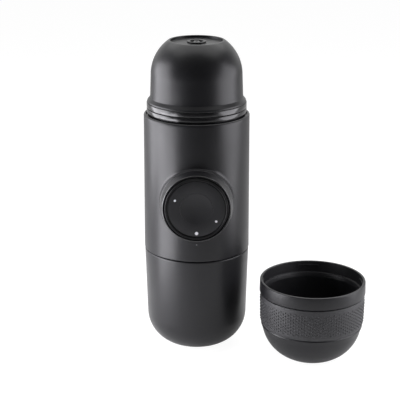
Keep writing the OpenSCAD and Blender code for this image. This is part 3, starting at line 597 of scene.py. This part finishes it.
class ESPRESSO_OT_body(Operator):
    """Body shell with the boss that grows out of it round the button"""

    bl_idname = "espresso.body"
    bl_label = "Body shell"

    def execute(self, context):
        low_radius, top_radius, top_edge = lengths("body", "low_radius", "top_radius", "top_edge")
        z0, z1 = low("body_shell").z, high("body_shell").z
        straight = z1 - 2.4
        seat = z1 - 5
        skirt = high("base_gasket").z
        mouth, bore, base_bore = 28.2, 27.6, 28.6
        wall = line((low_radius, z0), (top_radius, straight), 12) + outline([
            (top_radius, straight), (top_radius, z1, top_edge), (mouth, z1, 0.25), (mouth, seat, 0.1),
            (bore, seat, 0.1), (bore, skirt, 0.1), (base_bore, skirt, 0.1), (base_bore, z0, 0.25),
            (low_radius, z0, 0.35), (low_radius, z0 + 1)], 5, closed=False)
        shell = spun("body_shell_wall", wall, steps=180)
        hole_r, inside, outside = 19.4, 10, 45
        carve(shell, spun_forward("hole", [(0, inside), (hole_r, inside), (hole_r, outside), (0, outside)],
                                  steps=96, closed=False))
        shell = joined([shell, self.boss(low_radius, top_radius, z0, z1)])
        finished(shell, soft_touch_abs, "machine", "body_shell")
        dress("index_mark", grey_ink)
        return {"FINISHED"}

    def boss(self, low_radius, top_radius, z0, z1):
        """The boss: a ring turned on the button's axis, its foot swept into the round body.

        The ring is first spun with its lower points at depths that only mark them. Each is then
        moved to where the blend and the body's surface are at its angle."""
        r, edge, blend = lengths("body", "boss_radius", "boss_edge", "boss_blend")
        bore = 19.1
        sunk = 0.8  # how deep the ring's foot stands in the wall
        rows, pitch, rise = 10, blend * 0.1, 0.3
        blend_mark, side_mark, bore_mark, foot_mark = 20, 26, 24, 18
        marks = [(r + pitch * i, blend_mark + rise * i) for i in range(rows + 1)]
        top = outline([(r, 0), (r, BOSS_FACE, edge), (bore, BOSS_FACE, 0.08), (bore, 0)], 6, closed=False)
        points = marks[::-1] + [(r, side_mark)] + top[1:-1] + [(bore, bore_mark), (r, foot_mark)]
        ring = spun_forward("boss", points, steps=192)

        def wall(across, a, inset=0):
            """How far forward the body's surface stands, a distance across from the axis at angle a."""
            t = (PISTON_Z + across * math.sin(a) - z0) / (z1 - z0)
            radius = low_radius + (top_radius - low_radius) * t - inset
            return math.sqrt(radius ** 2 - (across * math.cos(a)) ** 2)

        def foot(a):
            """Radius, centre height and end angle of the blend's arc in the plane at angle a."""
            least = 0.3
            room = BOSS_FACE - edge - wall(r, a)
            b = max(least, min(blend, room * 0.8))

            def nearest(h):
                """The body's least distance from the arc's centre, and how far across it lies."""
                spots = [r + b * 0.2 + b * 1.1 * k / 60 for k in range(61)]
                return min((math.hypot(q - r - b, wall(q, a) - h), q) for q in spots)

            below = wall(r + b, a)
            above = below + 3 * b
            for _ in range(24):
                h = (below + above) / 2
                below, above = (h, above) if nearest(h)[0] < b else (below, h)
            h = (below + above) / 2
            q = nearest(h)[1]
            return b, h, math.atan2(wall(q, a) - h, q - r - b)

        mesh = bmesh.new()
        mesh.from_mesh(ring.data)
        known = {}  # the blend's foot at each angle, by hundredths of a degree
        near = 0.01
        for v in mesh.verts:
            x, depth, up = v.co.x / MM, -v.co.y / MM, v.co.z / MM - PISTON_Z
            across, a = math.hypot(x, up), math.atan2(up, x)
            key = round(math.degrees(a) * 100) % 36000
            if key not in known:
                known[key] = foot(a)
            b, h, end = known[key]
            row = (across - r) / pitch
            if abs(depth - blend_mark - rise * round(row)) < near and -near < row < rows + near:
                t = -math.pi + (end + math.pi) * round(row) / rows
                across = r + b + b * math.cos(t)
                depth = h + b * math.sin(t)
            elif abs(depth - side_mark) < near:
                depth = (h + BOSS_FACE - edge) / 2
            elif abs(depth - bore_mark) < near:
                depth = wall(across, a, sunk)
            elif abs(depth - foot_mark) < near:
                across = r + b + b * math.cos(end)
                depth = wall(across, a, sunk)
            v.co = Vector((across * math.cos(a), -depth, PISTON_Z + across * math.sin(a))) * MM
        mesh.to_mesh(ring.data)
        mesh.free()
        return ring


class ESPRESSO_OT_guide(Operator):
    """Piston guide with its cone collar round the button and the two lug windows"""

    bl_idname = "espresso.guide"
    bl_label = "Piston guide"

    def execute(self, context):
        reach, back = -low("piston_guide").y, -high("piston_guide").y
        bore, outer, stem_bore, floor = 18.1, 19.0, 8.1, 2
        guide = spun_forward("piston_guide_bush", outline([
            (bore, back + floor, 0.3), (stem_bore, back + floor, 0.2), (stem_bore, back, 0.2),
            (outer, back, 0.4), (outer, BOSS_FACE, 0.1), (19.98, BOSS_FACE + 0.02, 0.25),
            (19.75, BOSS_FACE + 1.2, 0.4), (18.9, reach - 0.9, 0.2), (18.85, reach, 0.66),
            (bore, reach, 0.08)], 6), steps=160)
        inside, outside, near_end, far_end = 17.5, 20.5, 6.4, 31.3
        first, last = math.radians(-54.5), math.radians(9.5)  # the lug's turn, with room at both ends
        for turn in (0, math.pi):
            window = spun_forward("window", [(inside, near_end), (outside, near_end), (outside, far_end),
                                             (inside, far_end)], steps=96)
            keep_sector(window, lambda place: math.atan2(place.z - PISTON_Z, place.x),
                        middle=(first + last) / 2 + turn, half=(last - first) / 2)
            carve(guide, window)
        finished(guide, soft_touch_abs, "machine", "piston_guide")
        accent(guide, polished_abs, lambda centre: -centre.y > reach - 0.75)
        return {"FINISHED"}


class ESPRESSO_OT_button(Operator):
    """Piston button with its black rim, sunk face, dished middle, lugs and dots"""

    bl_idname = "espresso.button"
    bl_label = "Piston button"

    def execute(self, context):
        radius, face_r, insert_r, dish = lengths("button", "radius", "ring_radius", "insert_radius", "dish")
        reach, back = -low("piston_button").y, -high("piston_button").y
        face = -low("button_dots").y - 0.15
        self.cap(radius, face_r, insert_r + 0.03, reach, back, face)
        self.insert(insert_r, dish, face)
        dress("button_dots", printed_ink)
        return {"FINISHED"}

    def cap(self, r, face_r, pocket, reach, back, face):
        """The cap: rim, sunk face with the insert's pocket, screw boss behind it, and two lugs."""
        groove = face - 0.18
        pocket_floor, boss_foot, under = face - 1.3, 27, face - 3.6
        screw_head, screw, boss, inside = 3.5, 2.55, 4.7, 15.9
        cap = spun_forward("piston_button_cap", outline([
            (r, back, 0.3), (r, reach - 1.3), (r - 0.12, reach - 0.75, 0.3), (r - 0.75, reach, 0.25),
            (face_r + 0.45, reach, 0.2), (face_r + 0.1, reach - 0.25, 0.1), (face_r, groove, 0.1),
            (face_r - 0.3, groove, 0.1), (face_r - 0.42, face, 0.15), (pocket, face, 0.04),
            (pocket, pocket_floor, 0.1), (screw_head, pocket_floor, 0.1), (screw_head, face - 2.5),
            (screw, face - 2.5), (screw, boss_foot, 0.1), (boss, boss_foot, 0.2), (boss, under, 0.4),
            (inside, under, 0.8), (inside, back, 0.3)], 4), steps=160)
        lugs = []
        lug_r, lug_depth, lug_size = 17.5, back + 1.9, (2.1, 2.4, 5)
        for side in (-1, 1):
            place = Vector((side * lug_r, -lug_depth, PISTON_Z)) * MM
            bpy.ops.mesh.primitive_cube_add(size=1, location=place)
            lug = bpy.context.object
            lug.scale = Vector(lug_size) * MM
            bpy.ops.object.transform_apply(location=True, rotation=True, scale=True)
            bpy.ops.object.mode_set(mode="EDIT")
            bpy.ops.mesh.select_all(action="SELECT")
            bpy.ops.mesh.bevel(offset=0.3 * MM, segments=2, affect="EDGES")
            bpy.ops.object.mode_set(mode="OBJECT")
            lugs.append(lug)
        cap = finished(joined([cap] + lugs), satin_abs, "button", "piston_button")
        # the rim and its sides take the darker black, which paints the rim's shade and dark reflection
        accent(cap, rim_shade_abs, lambda centre: math.hypot(centre.x, centre.z - PISTON_Z) > face_r - 0.35
               and -centre.y > reach - 3)

    def insert(self, radius, dish, face):
        """The insert: a disc whose front is dished inside a narrow lip."""
        thick, lip = 1.3, 0.2
        bowl = ((radius - lip) ** 2 + dish ** 2) / (2 * dish)
        sweep = math.degrees(math.asin((radius - lip) / bowl))
        dished = arc(0, face - dish + bowl, bowl, -90, sweep - 90, 14)
        rim = outline([dished[-1], (radius, face, 0.04), (radius, face - thick, 0.15),
                       (0, face - thick)], 4, closed=False)[1:]
        disc = spun_forward("button_insert_disc", dished + rim, steps=96, closed=False)
        finished(disc, satin_abs, "button", "button_insert")


class ESPRESSO_OT_neck(Operator):
    """Neck collar: gloss band, groove, screw thread, brewing chamber and screen"""

    bl_idname = "espresso.neck"
    bl_label = "Neck collar"

    def execute(self, context):
        z0, z1 = low("neck_collar").z, high("neck_collar").z
        band = high("neck_collar").x
        top = high("body_shell").z
        skirt, gap, half_gap = 27.3, 27.4, 0.85
        step = top + 3.3
        root, chamber, clip, passage = 21.4, 20.3, 18, 1.1
        seat = z1 - 3.9
        floor, ceiling = seat - 1.5, seat - 4.5
        neck = spun("neck_collar_band", outline([
            (skirt, z0, 0.2), (skirt, top - 5), (band, top - 5), (band, top - half_gap, 0.1),
            (gap, top - half_gap, 0.1), (gap, top + half_gap, 0.1), (band, top + half_gap, 0.3),
            (band, step, 0.35), (22.0, step, 0.2), (root, step + 0.6), *ridges(root, step + 1),
            (root, z1, 0.3), (chamber, z1, 0.25), (chamber, seat, 0.1), (clip, seat, 0.2), (clip, floor, 0.1),
            (passage, floor, 0.2), (passage, ceiling, 0.2), (chamber, ceiling, 0.6),
            (chamber, step - 3, 0.3), (22.5, step - 3, 0.3), (22.5, z0, 0.2)], 3), steps=160)
        finished(neck, polished_abs, "machine", "neck_collar")
        dress("shower_screen", pressed_steel)
        dress("screen_clip", spring_steel)
        dress("basket_seal", seal_rubber)
        return {"FINISHED"}


class ESPRESSO_OT_head(Operator):
    """Outlet head: matte dome with its spout ring, gloss band and nozzle"""

    bl_idname = "espresso.head"
    bl_label = "Outlet head"

    def execute(self, context):
        z0 = low("outlet_head").z
        self.dome(z0)
        self.band(z0)
        self.nozzle()
        dress("head_seal", seal_rubber)
        dress("filter_basket", pressed_steel)
        return {"FINISHED"}

    def dome(self, z0):
        """The dome: a flared foot, a side that leans in, a round shoulder and the recessed top."""
        z1 = high("outlet_head").z
        foot = high("outlet_head").x
        arc_r, side, flare_r, wall = 23.5, 25.45, 25.85, 1.7
        recess, roof = z1 - 1.5, z1 - 3.5
        top_r, short = 15.6, 0.12  # where the shoulder would meet the top, and how far below it ends
        cx = side - arc_r
        cz = z1 - math.sqrt(arc_r ** 2 - (top_r - cx) ** 2)
        up = math.degrees(math.asin((z1 - short - cz) / arc_r))
        inner_up = math.degrees(math.asin((roof - cz) / (arc_r - wall)))
        flare = outline([(22.0, z0), (foot, z0, 0.35), (foot - 0.25, z0 + 0.95, 0.5),
                         (25.98, z0 + 2.75, 0.8), (flare_r, z0 + 4.4)], 5, closed=False)[1:]
        shoulder = arc(cx, cz, arc_r, 0, up, 36)
        top = outline([shoulder[-1], (15.45, z1, 0.12), (14.55, z1, 0.25), (14.5, recess, 0.3),
                       (5.3, recess, 0.2), (5.3, z1 - 0.5, 0.25), (3.75, z1 - 0.5, 0.25),
                       (3.75, roof, 0.1), (17.2, roof)], 4, closed=False)[1:-1]
        inside = arc(cx, cz, arc_r - wall, inner_up, 0, 20)
        points = flare + line((flare_r, z0 + 4.4), (side, cz), 4) + shoulder + top + inside
        dome = spun("outlet_dome", points + [(side - wall, z0)], steps=180)
        finished(dome, soft_touch_abs, "head", "outlet_head")

    def band(self, top):
        """The head's liner: the gloss band under the dome and the threaded socket inside it."""
        foot = low("head_liner").z
        outer = high("head_liner").x
        socket, sleeve, bore = 22.4, 23.65, 19.9
        liner = spun("head_band", outline([
            (socket, foot, 0.2), (outer, foot, 0.4), (outer, top - 0.02, 0.35), (sleeve, top - 0.02),
            (sleeve, foot + 14.4, 0.2), (bore, foot + 14.4, 0.2), (bore, foot + 12.8, 0.2),
            (socket, foot + 12.8, 0.1)], 4), steps=160)
        finished(liner, polished_abs, "head", "head_liner")

    def nozzle(self):
        """The nozzle: a tapered tip on a flange."""
        foot, tip = low("outlet_nozzle").z, high("outlet_nozzle").z
        bore, flange, flange_h, stem = 0.7, 7, 1.2, 3.6
        nozzle = spun("outlet_nozzle_tip", outline([
            (bore, foot, 0.1), (flange, foot, 0.2), (flange, foot + flange_h, 0.2),
            (stem, foot + flange_h, 0.1), (stem, foot + 2.0, 0.3), (1.35, tip, 0.25), (bore, tip, 0.15)],
            4), steps=64)
        finished(nozzle, polished_abs, "head", "outlet_nozzle")


class ESPRESSO_OT_cup(Operator):
    """Cup: satin bowl with its rim, satin liner and dotted silicone grip"""

    bl_idname = "espresso.cup"
    bl_label = "Cup"

    def execute(self, context):
        side, base_arc, wall, floor = 28.3, 23.0, 0.9, 1.8
        ledge = high("cup_bowl").z - 6.5
        cx, cz, down = round_base(side, base_arc, foot=12)
        base = [(0, 0), (7, 0)] + arc(cx, cz, base_arc, -down, 0, 32)
        self.bowl(base, side, cx, cz, base_arc - wall, floor, ledge)
        self.liner(cx, cz, base_arc - wall, wall, floor, ledge)
        self.grip(side)
        return {"FINISHED"}

    def bowl(self, base, side, cx, cz, inner_arc, floor, ledge):
        """The bowl: rounded base, ledge under the sleeve, rim band, and four lugs inside the rim."""
        rim = settings("cup").rim_radius / MM
        top = high("cup_bowl").z
        sleeve_foot = low("cup_sleeve").z
        mouth, lining = 28.2, 27.4
        below_ledge = sleeve_foot - 2.2
        lower = [point for point in base if point[1] < below_ledge]
        upper = outline([
            lower[-1], (28.72, sleeve_foot - 0.5, 0.35), (side, sleeve_foot + 0.1, 0.05), (side, cz),
            (side, top - 7.0, 0.1), (rim + 0.2, top - 7.0, 0.4), (rim, top, 0.5), (mouth, top, 0.35),
            (mouth, ledge, 0.2), (lining, ledge, 0.1), (lining, cz)], 4, closed=False)[1:-1]
        inner = arc(cx, cz, inner_arc, 0, -drop_angle(inner_arc, cz - floor), 20)
        bowl = spun("cup_bowl_wall", lower + upper + inner + [(0, floor)], steps=180, closed=False,
                    centre=CUP_CENTRE)
        lugs = []
        for turn in range(4):
            lug = spun("lug", outline([(27.75, top - 2.9, 0.2), (28.3, top - 2.9), (28.3, top - 2.0),
                                       (27.75, top - 2.0, 0.2)], 2), steps=144, centre=CUP_CENTRE)
            keep_sector(lug, lambda place: math.atan2(place.y - CUP_Y, place.x - CUP_X),
                        middle=math.radians(90 * turn), half=math.radians(12.6))
            lugs.append(lug)
        finished(joined([bowl] + lugs), satin_abs, "cup", "cup_bowl")

    def liner(self, cx, cz, outer_arc, wall, foot, ledge):
        """The liner: a thin bowl inside the bowl, its lip level with the ledge."""
        floor, inner_arc, gap = foot + wall, outer_arc - wall, 0.02
        lip, side = 27.38, 26.5
        outer = arc(cx, cz, outer_arc - gap, -drop_angle(outer_arc, cz - foot), 0, 20)
        edge = outline([(lip, cz), (lip, ledge - gap, 0.2), (27.05, ledge - gap, 0.2),
                        (side, ledge - 2.4, 1.0), (side, cz)], 4, closed=False)[1:]
        inside = arc(cx, cz, inner_arc, 0, -drop_angle(inner_arc, cz - floor), 24)[1:]
        liner = spun("cup_liner_bowl", [(0, foot + gap)] + outer + edge + inside + [(0, floor)],
                     steps=160, closed=False, centre=CUP_CENTRE)
        finished(liner, satin_abs, "cup", "cup_liner")

    def grip(self, seat):
        """The grip: a sleeve with rows of raised dots, every second row turned by half a dot."""
        size = settings("cup")
        foot, top = low("cup_sleeve").z, high("cup_sleeve").z
        foot_r, top_r = 29.05, 29.4
        sleeve = spun("cup_grip", outline([
            (seat, foot + 0.1, 0.03), (foot_r - 0.65, foot + 0.1, 0.1), (foot_r - 0.4, foot + 0.6, 0.3),
            (foot_r, foot + 1.6, 0.6), (top_r, top, 0.4), (seat, top, 0.05)], 4),
            steps=180, centre=CUP_CENTRE)
        axis_foot = Vector(CUP_CENTRE) * MM
        first, pitch, sink = foot + 2.9, 0.94, 0.06
        dots = []
        for row in range(size.dot_rows):
            z = first + row * pitch
            r = foot_r + (top_r - foot_r) * (z - foot) / (top - foot)
            bpy.ops.mesh.primitive_circle_add(
                vertices=8, radius=size.dot_radius, fill_type="NOTHING", rotation=(0, math.pi / 2, 0),
                location=Vector((CUP_X + r - sink, CUP_Y, z)) * MM)
            dot = bpy.context.object
            bpy.ops.object.transform_apply(location=True, rotation=True, scale=True)
            bpy.ops.object.mode_set(mode="EDIT")
            bpy.ops.mesh.select_all(action="SELECT")
            middle = Vector((CUP_X + r, CUP_Y, z)) * MM
            for out, keep in ((0.55, 0.82), (0.35, 0.55), (0.1, 0.2)):
                bpy.ops.mesh.extrude_region_move(
                    TRANSFORM_OT_translate={"value": (size.dot_height * out, 0, 0)})
                bpy.ops.transform.resize(value=(1, keep, keep), center_override=middle)
            bpy.ops.mesh.edge_face_add()
            bpy.ops.mesh.select_all(action="SELECT")
            if row % 2:
                bpy.ops.transform.rotate(value=math.pi / size.dots_round, orient_axis="Z",
                                         center_override=axis_foot)
            bpy.ops.mesh.spin(steps=size.dots_round, dupli=True, angle=2 * math.pi, center=axis_foot,
                              axis=(0, 0, 1))
            bpy.ops.mesh.select_all(action="SELECT")
            bpy.ops.mesh.remove_doubles(threshold=0.001 * MM)
            bpy.ops.mesh.normals_make_consistent(inside=False)
            bpy.ops.object.mode_set(mode="OBJECT")
            dots.append(dot)
        finished(joined([sleeve] + dots), grip_silicone, "cup", "cup_sleeve")


class ESPRESSO_OT_inside(Operator):
    """Pump, valves, seals and screws inside, with copies of the springs"""

    bl_idname = "espresso.inside"
    bl_label = "Pump and valves"

    def execute(self, context):
        for maker, nodes in (
            (filled_nylon, ("pump_frame", "feed_tube", "outlet_plug")),
            (satin_abs, ("base_collar", "plunger")),
            (seal_rubber, ("base_gasket", "air_vent_valve", "inlet_seat", "outlet_seat", "piston_ring")),
            (pressed_steel, ("inlet_strainer", "cylinder_liner", "frame_screws", "plunger_screw")),
            (spring_steel, ("inlet_ball", "outlet_ball")),
        ):
            for node in nodes:
                dress(node, maker)
        for node, moving in (("inlet_spring", "inlet_valve"), ("outlet_spring", "outlet_valve"),
                             ("return_spring", "plunger")):
            self.spring(node, moving)
        return {"FINISHED"}

    def spring(self, node, moving):
        """A copy of a spring in place of its node; the body that it pushes is not used."""
        coil = bpy.data.objects.new(node + "_coil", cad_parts[node].data.copy())
        bpy.context.scene.collection.objects.link(coil)
        pick(coil)
        bpy.ops.object.mode_set(mode="EDIT")
        bpy.ops.mesh.select_all(action="SELECT")
        bpy.ops.mesh.remove_doubles(threshold=0.001 * MM)
        bpy.ops.object.mode_set(mode="OBJECT")
        bpy.ops.object.shade_smooth_by_angle(angle=math.radians(40))
        cover(coil.data, spring_steel)
        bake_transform(coil)
        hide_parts(node)


# ---- studio -----------------------------------------------------------------------------


def maths(tree, operation, a, b):
    """The output of a maths node on a socket and a second socket or number."""
    node = add(tree, "ShaderNodeMath", {0: a}, operation=operation)
    if isinstance(b, float):
        node.inputs[1].default_value = b
    else:
        tree.links.new(b, node.inputs[1])
    return node.outputs[0]


def mirror_rays(tree, path):
    """1 for rays that a glossy or a clear surface has turned, else 0."""
    return maths(tree, "MAXIMUM", path.outputs["Is Glossy Ray"], path.outputs["Is Transmission Ray"])


def sweep_paper():
    # matte white paper: it keeps a faint soft shadow, and shows near white to the camera
    made = bpy.data.materials.new("white_sweep_paper")
    tree = emptied(made)
    mirrored_glow, seen_glow = 0.3, 0.8
    paper = add(tree, "ShaderNodeBsdfDiffuse", Color=(0.8, 0.8, 0.8, 1))
    glow = add(tree, "ShaderNodeEmission", Color=(1, 1, 1, 1), Strength=1.19)
    path = add(tree, "ShaderNodeLightPath")
    mirrored = maths(tree, "MULTIPLY", mirror_rays(tree, path), mirrored_glow)
    seen = maths(tree, "MULTIPLY", path.outputs["Is Camera Ray"], seen_glow)
    share = maths(tree, "ADD", seen, mirrored)
    mixed = add(tree, "ShaderNodeMixShader", {0: share, 1: paper.outputs[0], 2: glow.outputs[0]})
    add(tree, "ShaderNodeOutputMaterial", {"Surface": mixed.outputs[0]})
    return made


def studio_room(strength):
    """The room: a white wall behind the object, dimness in front, and white where the camera looks."""
    world = bpy.data.worlds.new("white_studio")
    tree = emptied(world)
    path = add(tree, "ShaderNodeLightPath")
    where = add(tree, "ShaderNodeTexCoord")
    axes = add(tree, "ShaderNodeSeparateXYZ", {0: where.outputs["Generated"]})
    back = add(tree, "ShaderNodeMapRange", {"Value": axes.outputs["Y"]}, interpolation_type="SMOOTHSTEP",
               From_Min=0.1, From_Max=0.95, To_Min=0.03, To_Max=1.0).outputs["Result"]
    room = add(tree, "ShaderNodeBackground", {"Strength": maths(tree, "MULTIPLY", back, strength)},
               Color=(1, 1, 1, 1))
    white = add(tree, "ShaderNodeBackground", Color=(1, 1, 1, 1), Strength=1.0)
    mirrored = maths(tree, "MULTIPLY", mirror_rays(tree, path), back)
    seen = maths(tree, "MAXIMUM", mirrored, path.outputs["Is Camera Ray"])
    mixed = add(tree, "ShaderNodeMixShader", {0: seen, 1: room.outputs[0], 2: white.outputs[0]})
    add(tree, "ShaderNodeOutputWorld", {"Surface": mixed.outputs[0]})
    return world


class ESPRESSO_OT_studio(Operator):
    """White floor and backdrop, three softboxes, a low strip and the camera"""

    bl_idname = "espresso.studio"
    bl_label = "Studio"

    def execute(self, context):
        look = settings("studio")
        scene = context.scene
        scene.view_settings.view_transform = "Standard"

        floor_size, front_edge = 6, -0.36
        bpy.ops.mesh.primitive_plane_add(size=floor_size, location=(0, front_edge + floor_size / 2, 0))
        floor = context.object
        floor.name = "studio_floor"
        floor.data.materials.append(sweep_paper())
        scene.world = studio_room(look.ambient)

        upright, cool, white = math.pi / 2, (0.96, 0.95, 1.0), (1.0, 1.0, 1.0)
        for name, place, turned, width, height, colour, power in (
            ("left_softbox", (-0.2, 0.005, 0.148), (upright, -0.4, -math.pi / 2), 0.19, 0.17, cool,
             look.left_power),
            ("right_softbox", (0.21, -0.05, 0.135), (upright, 0.6, math.pi / 2), 0.18, 0.21, cool,
             look.right_power),
            ("low_strip", (-0.13, -0.08, 0.055), (upright, 0.0, -math.pi / 2), 0.12, 0.11, cool,
             look.strip_power),
            ("top_softbox", (0, 0.12, 0.6), (-0.2, 0, 0), 0.9, 0.62, white, look.top_power),
        ):
            bpy.ops.object.light_add(type="AREA", location=place, rotation=turned)
            lamp = context.object
            lamp.name = name
            lamp.data.shape = "RECTANGLE"
            lamp.data.size, lamp.data.size_y = width, height
            lamp.data.color = colour
            lamp.data.energy = power

        bpy.ops.object.camera_add(location=look.camera_place,
                                  rotation=(math.pi / 2 - look.camera_down, 0, 0))
        camera = context.object
        camera.data.sensor_width = 36
        camera.data.lens = look.lens
        camera.data.clip_start = 0.01
        scene.camera = camera
        return {"FINISHED"}


class ESPRESSO_PT_panel(Panel):
    """Lists the pieces and their settings"""

    bl_idname = "ESPRESSO_PT_panel"
    bl_label = "Espresso maker"
    bl_space_type = "VIEW_3D"
    bl_region_type = "UI"
    bl_category = "Espresso"

    def draw(self, context):
        for operator in OPERATORS:
            self.layout.operator(operator.bl_idname)
        for group, kind in GROUPS:
            box = self.layout.box()
            box.label(text=kind.__doc__)
            for name in kind.__annotations__:
                box.prop(settings(group), name)


OPERATORS = (
    ESPRESSO_OT_studio, ESPRESSO_OT_tank, ESPRESSO_OT_body, ESPRESSO_OT_guide, ESPRESSO_OT_button,
    ESPRESSO_OT_neck, ESPRESSO_OT_head, ESPRESSO_OT_cup, ESPRESSO_OT_inside,
)


def register():
    for group, kind in GROUPS:
        bpy.utils.register_class(kind)
        setattr(bpy.types.Scene, "espresso_" + group, PointerProperty(type=kind))
    for kind in OPERATORS + (ESPRESSO_PT_panel,):
        bpy.utils.register_class(kind)


def unregister():
    for kind in (ESPRESSO_PT_panel,) + OPERATORS[::-1]:
        bpy.utils.unregister_class(kind)
    for group, kind in GROUPS[::-1]:
        delattr(bpy.types.Scene, "espresso_" + group)
        bpy.utils.unregister_class(kind)


def main():
    register()
    for operator in OPERATORS:
        group, name = operator.bl_idname.split(".")
        getattr(getattr(bpy.ops, group), name)()


if __name__ == "__main__":
    main()
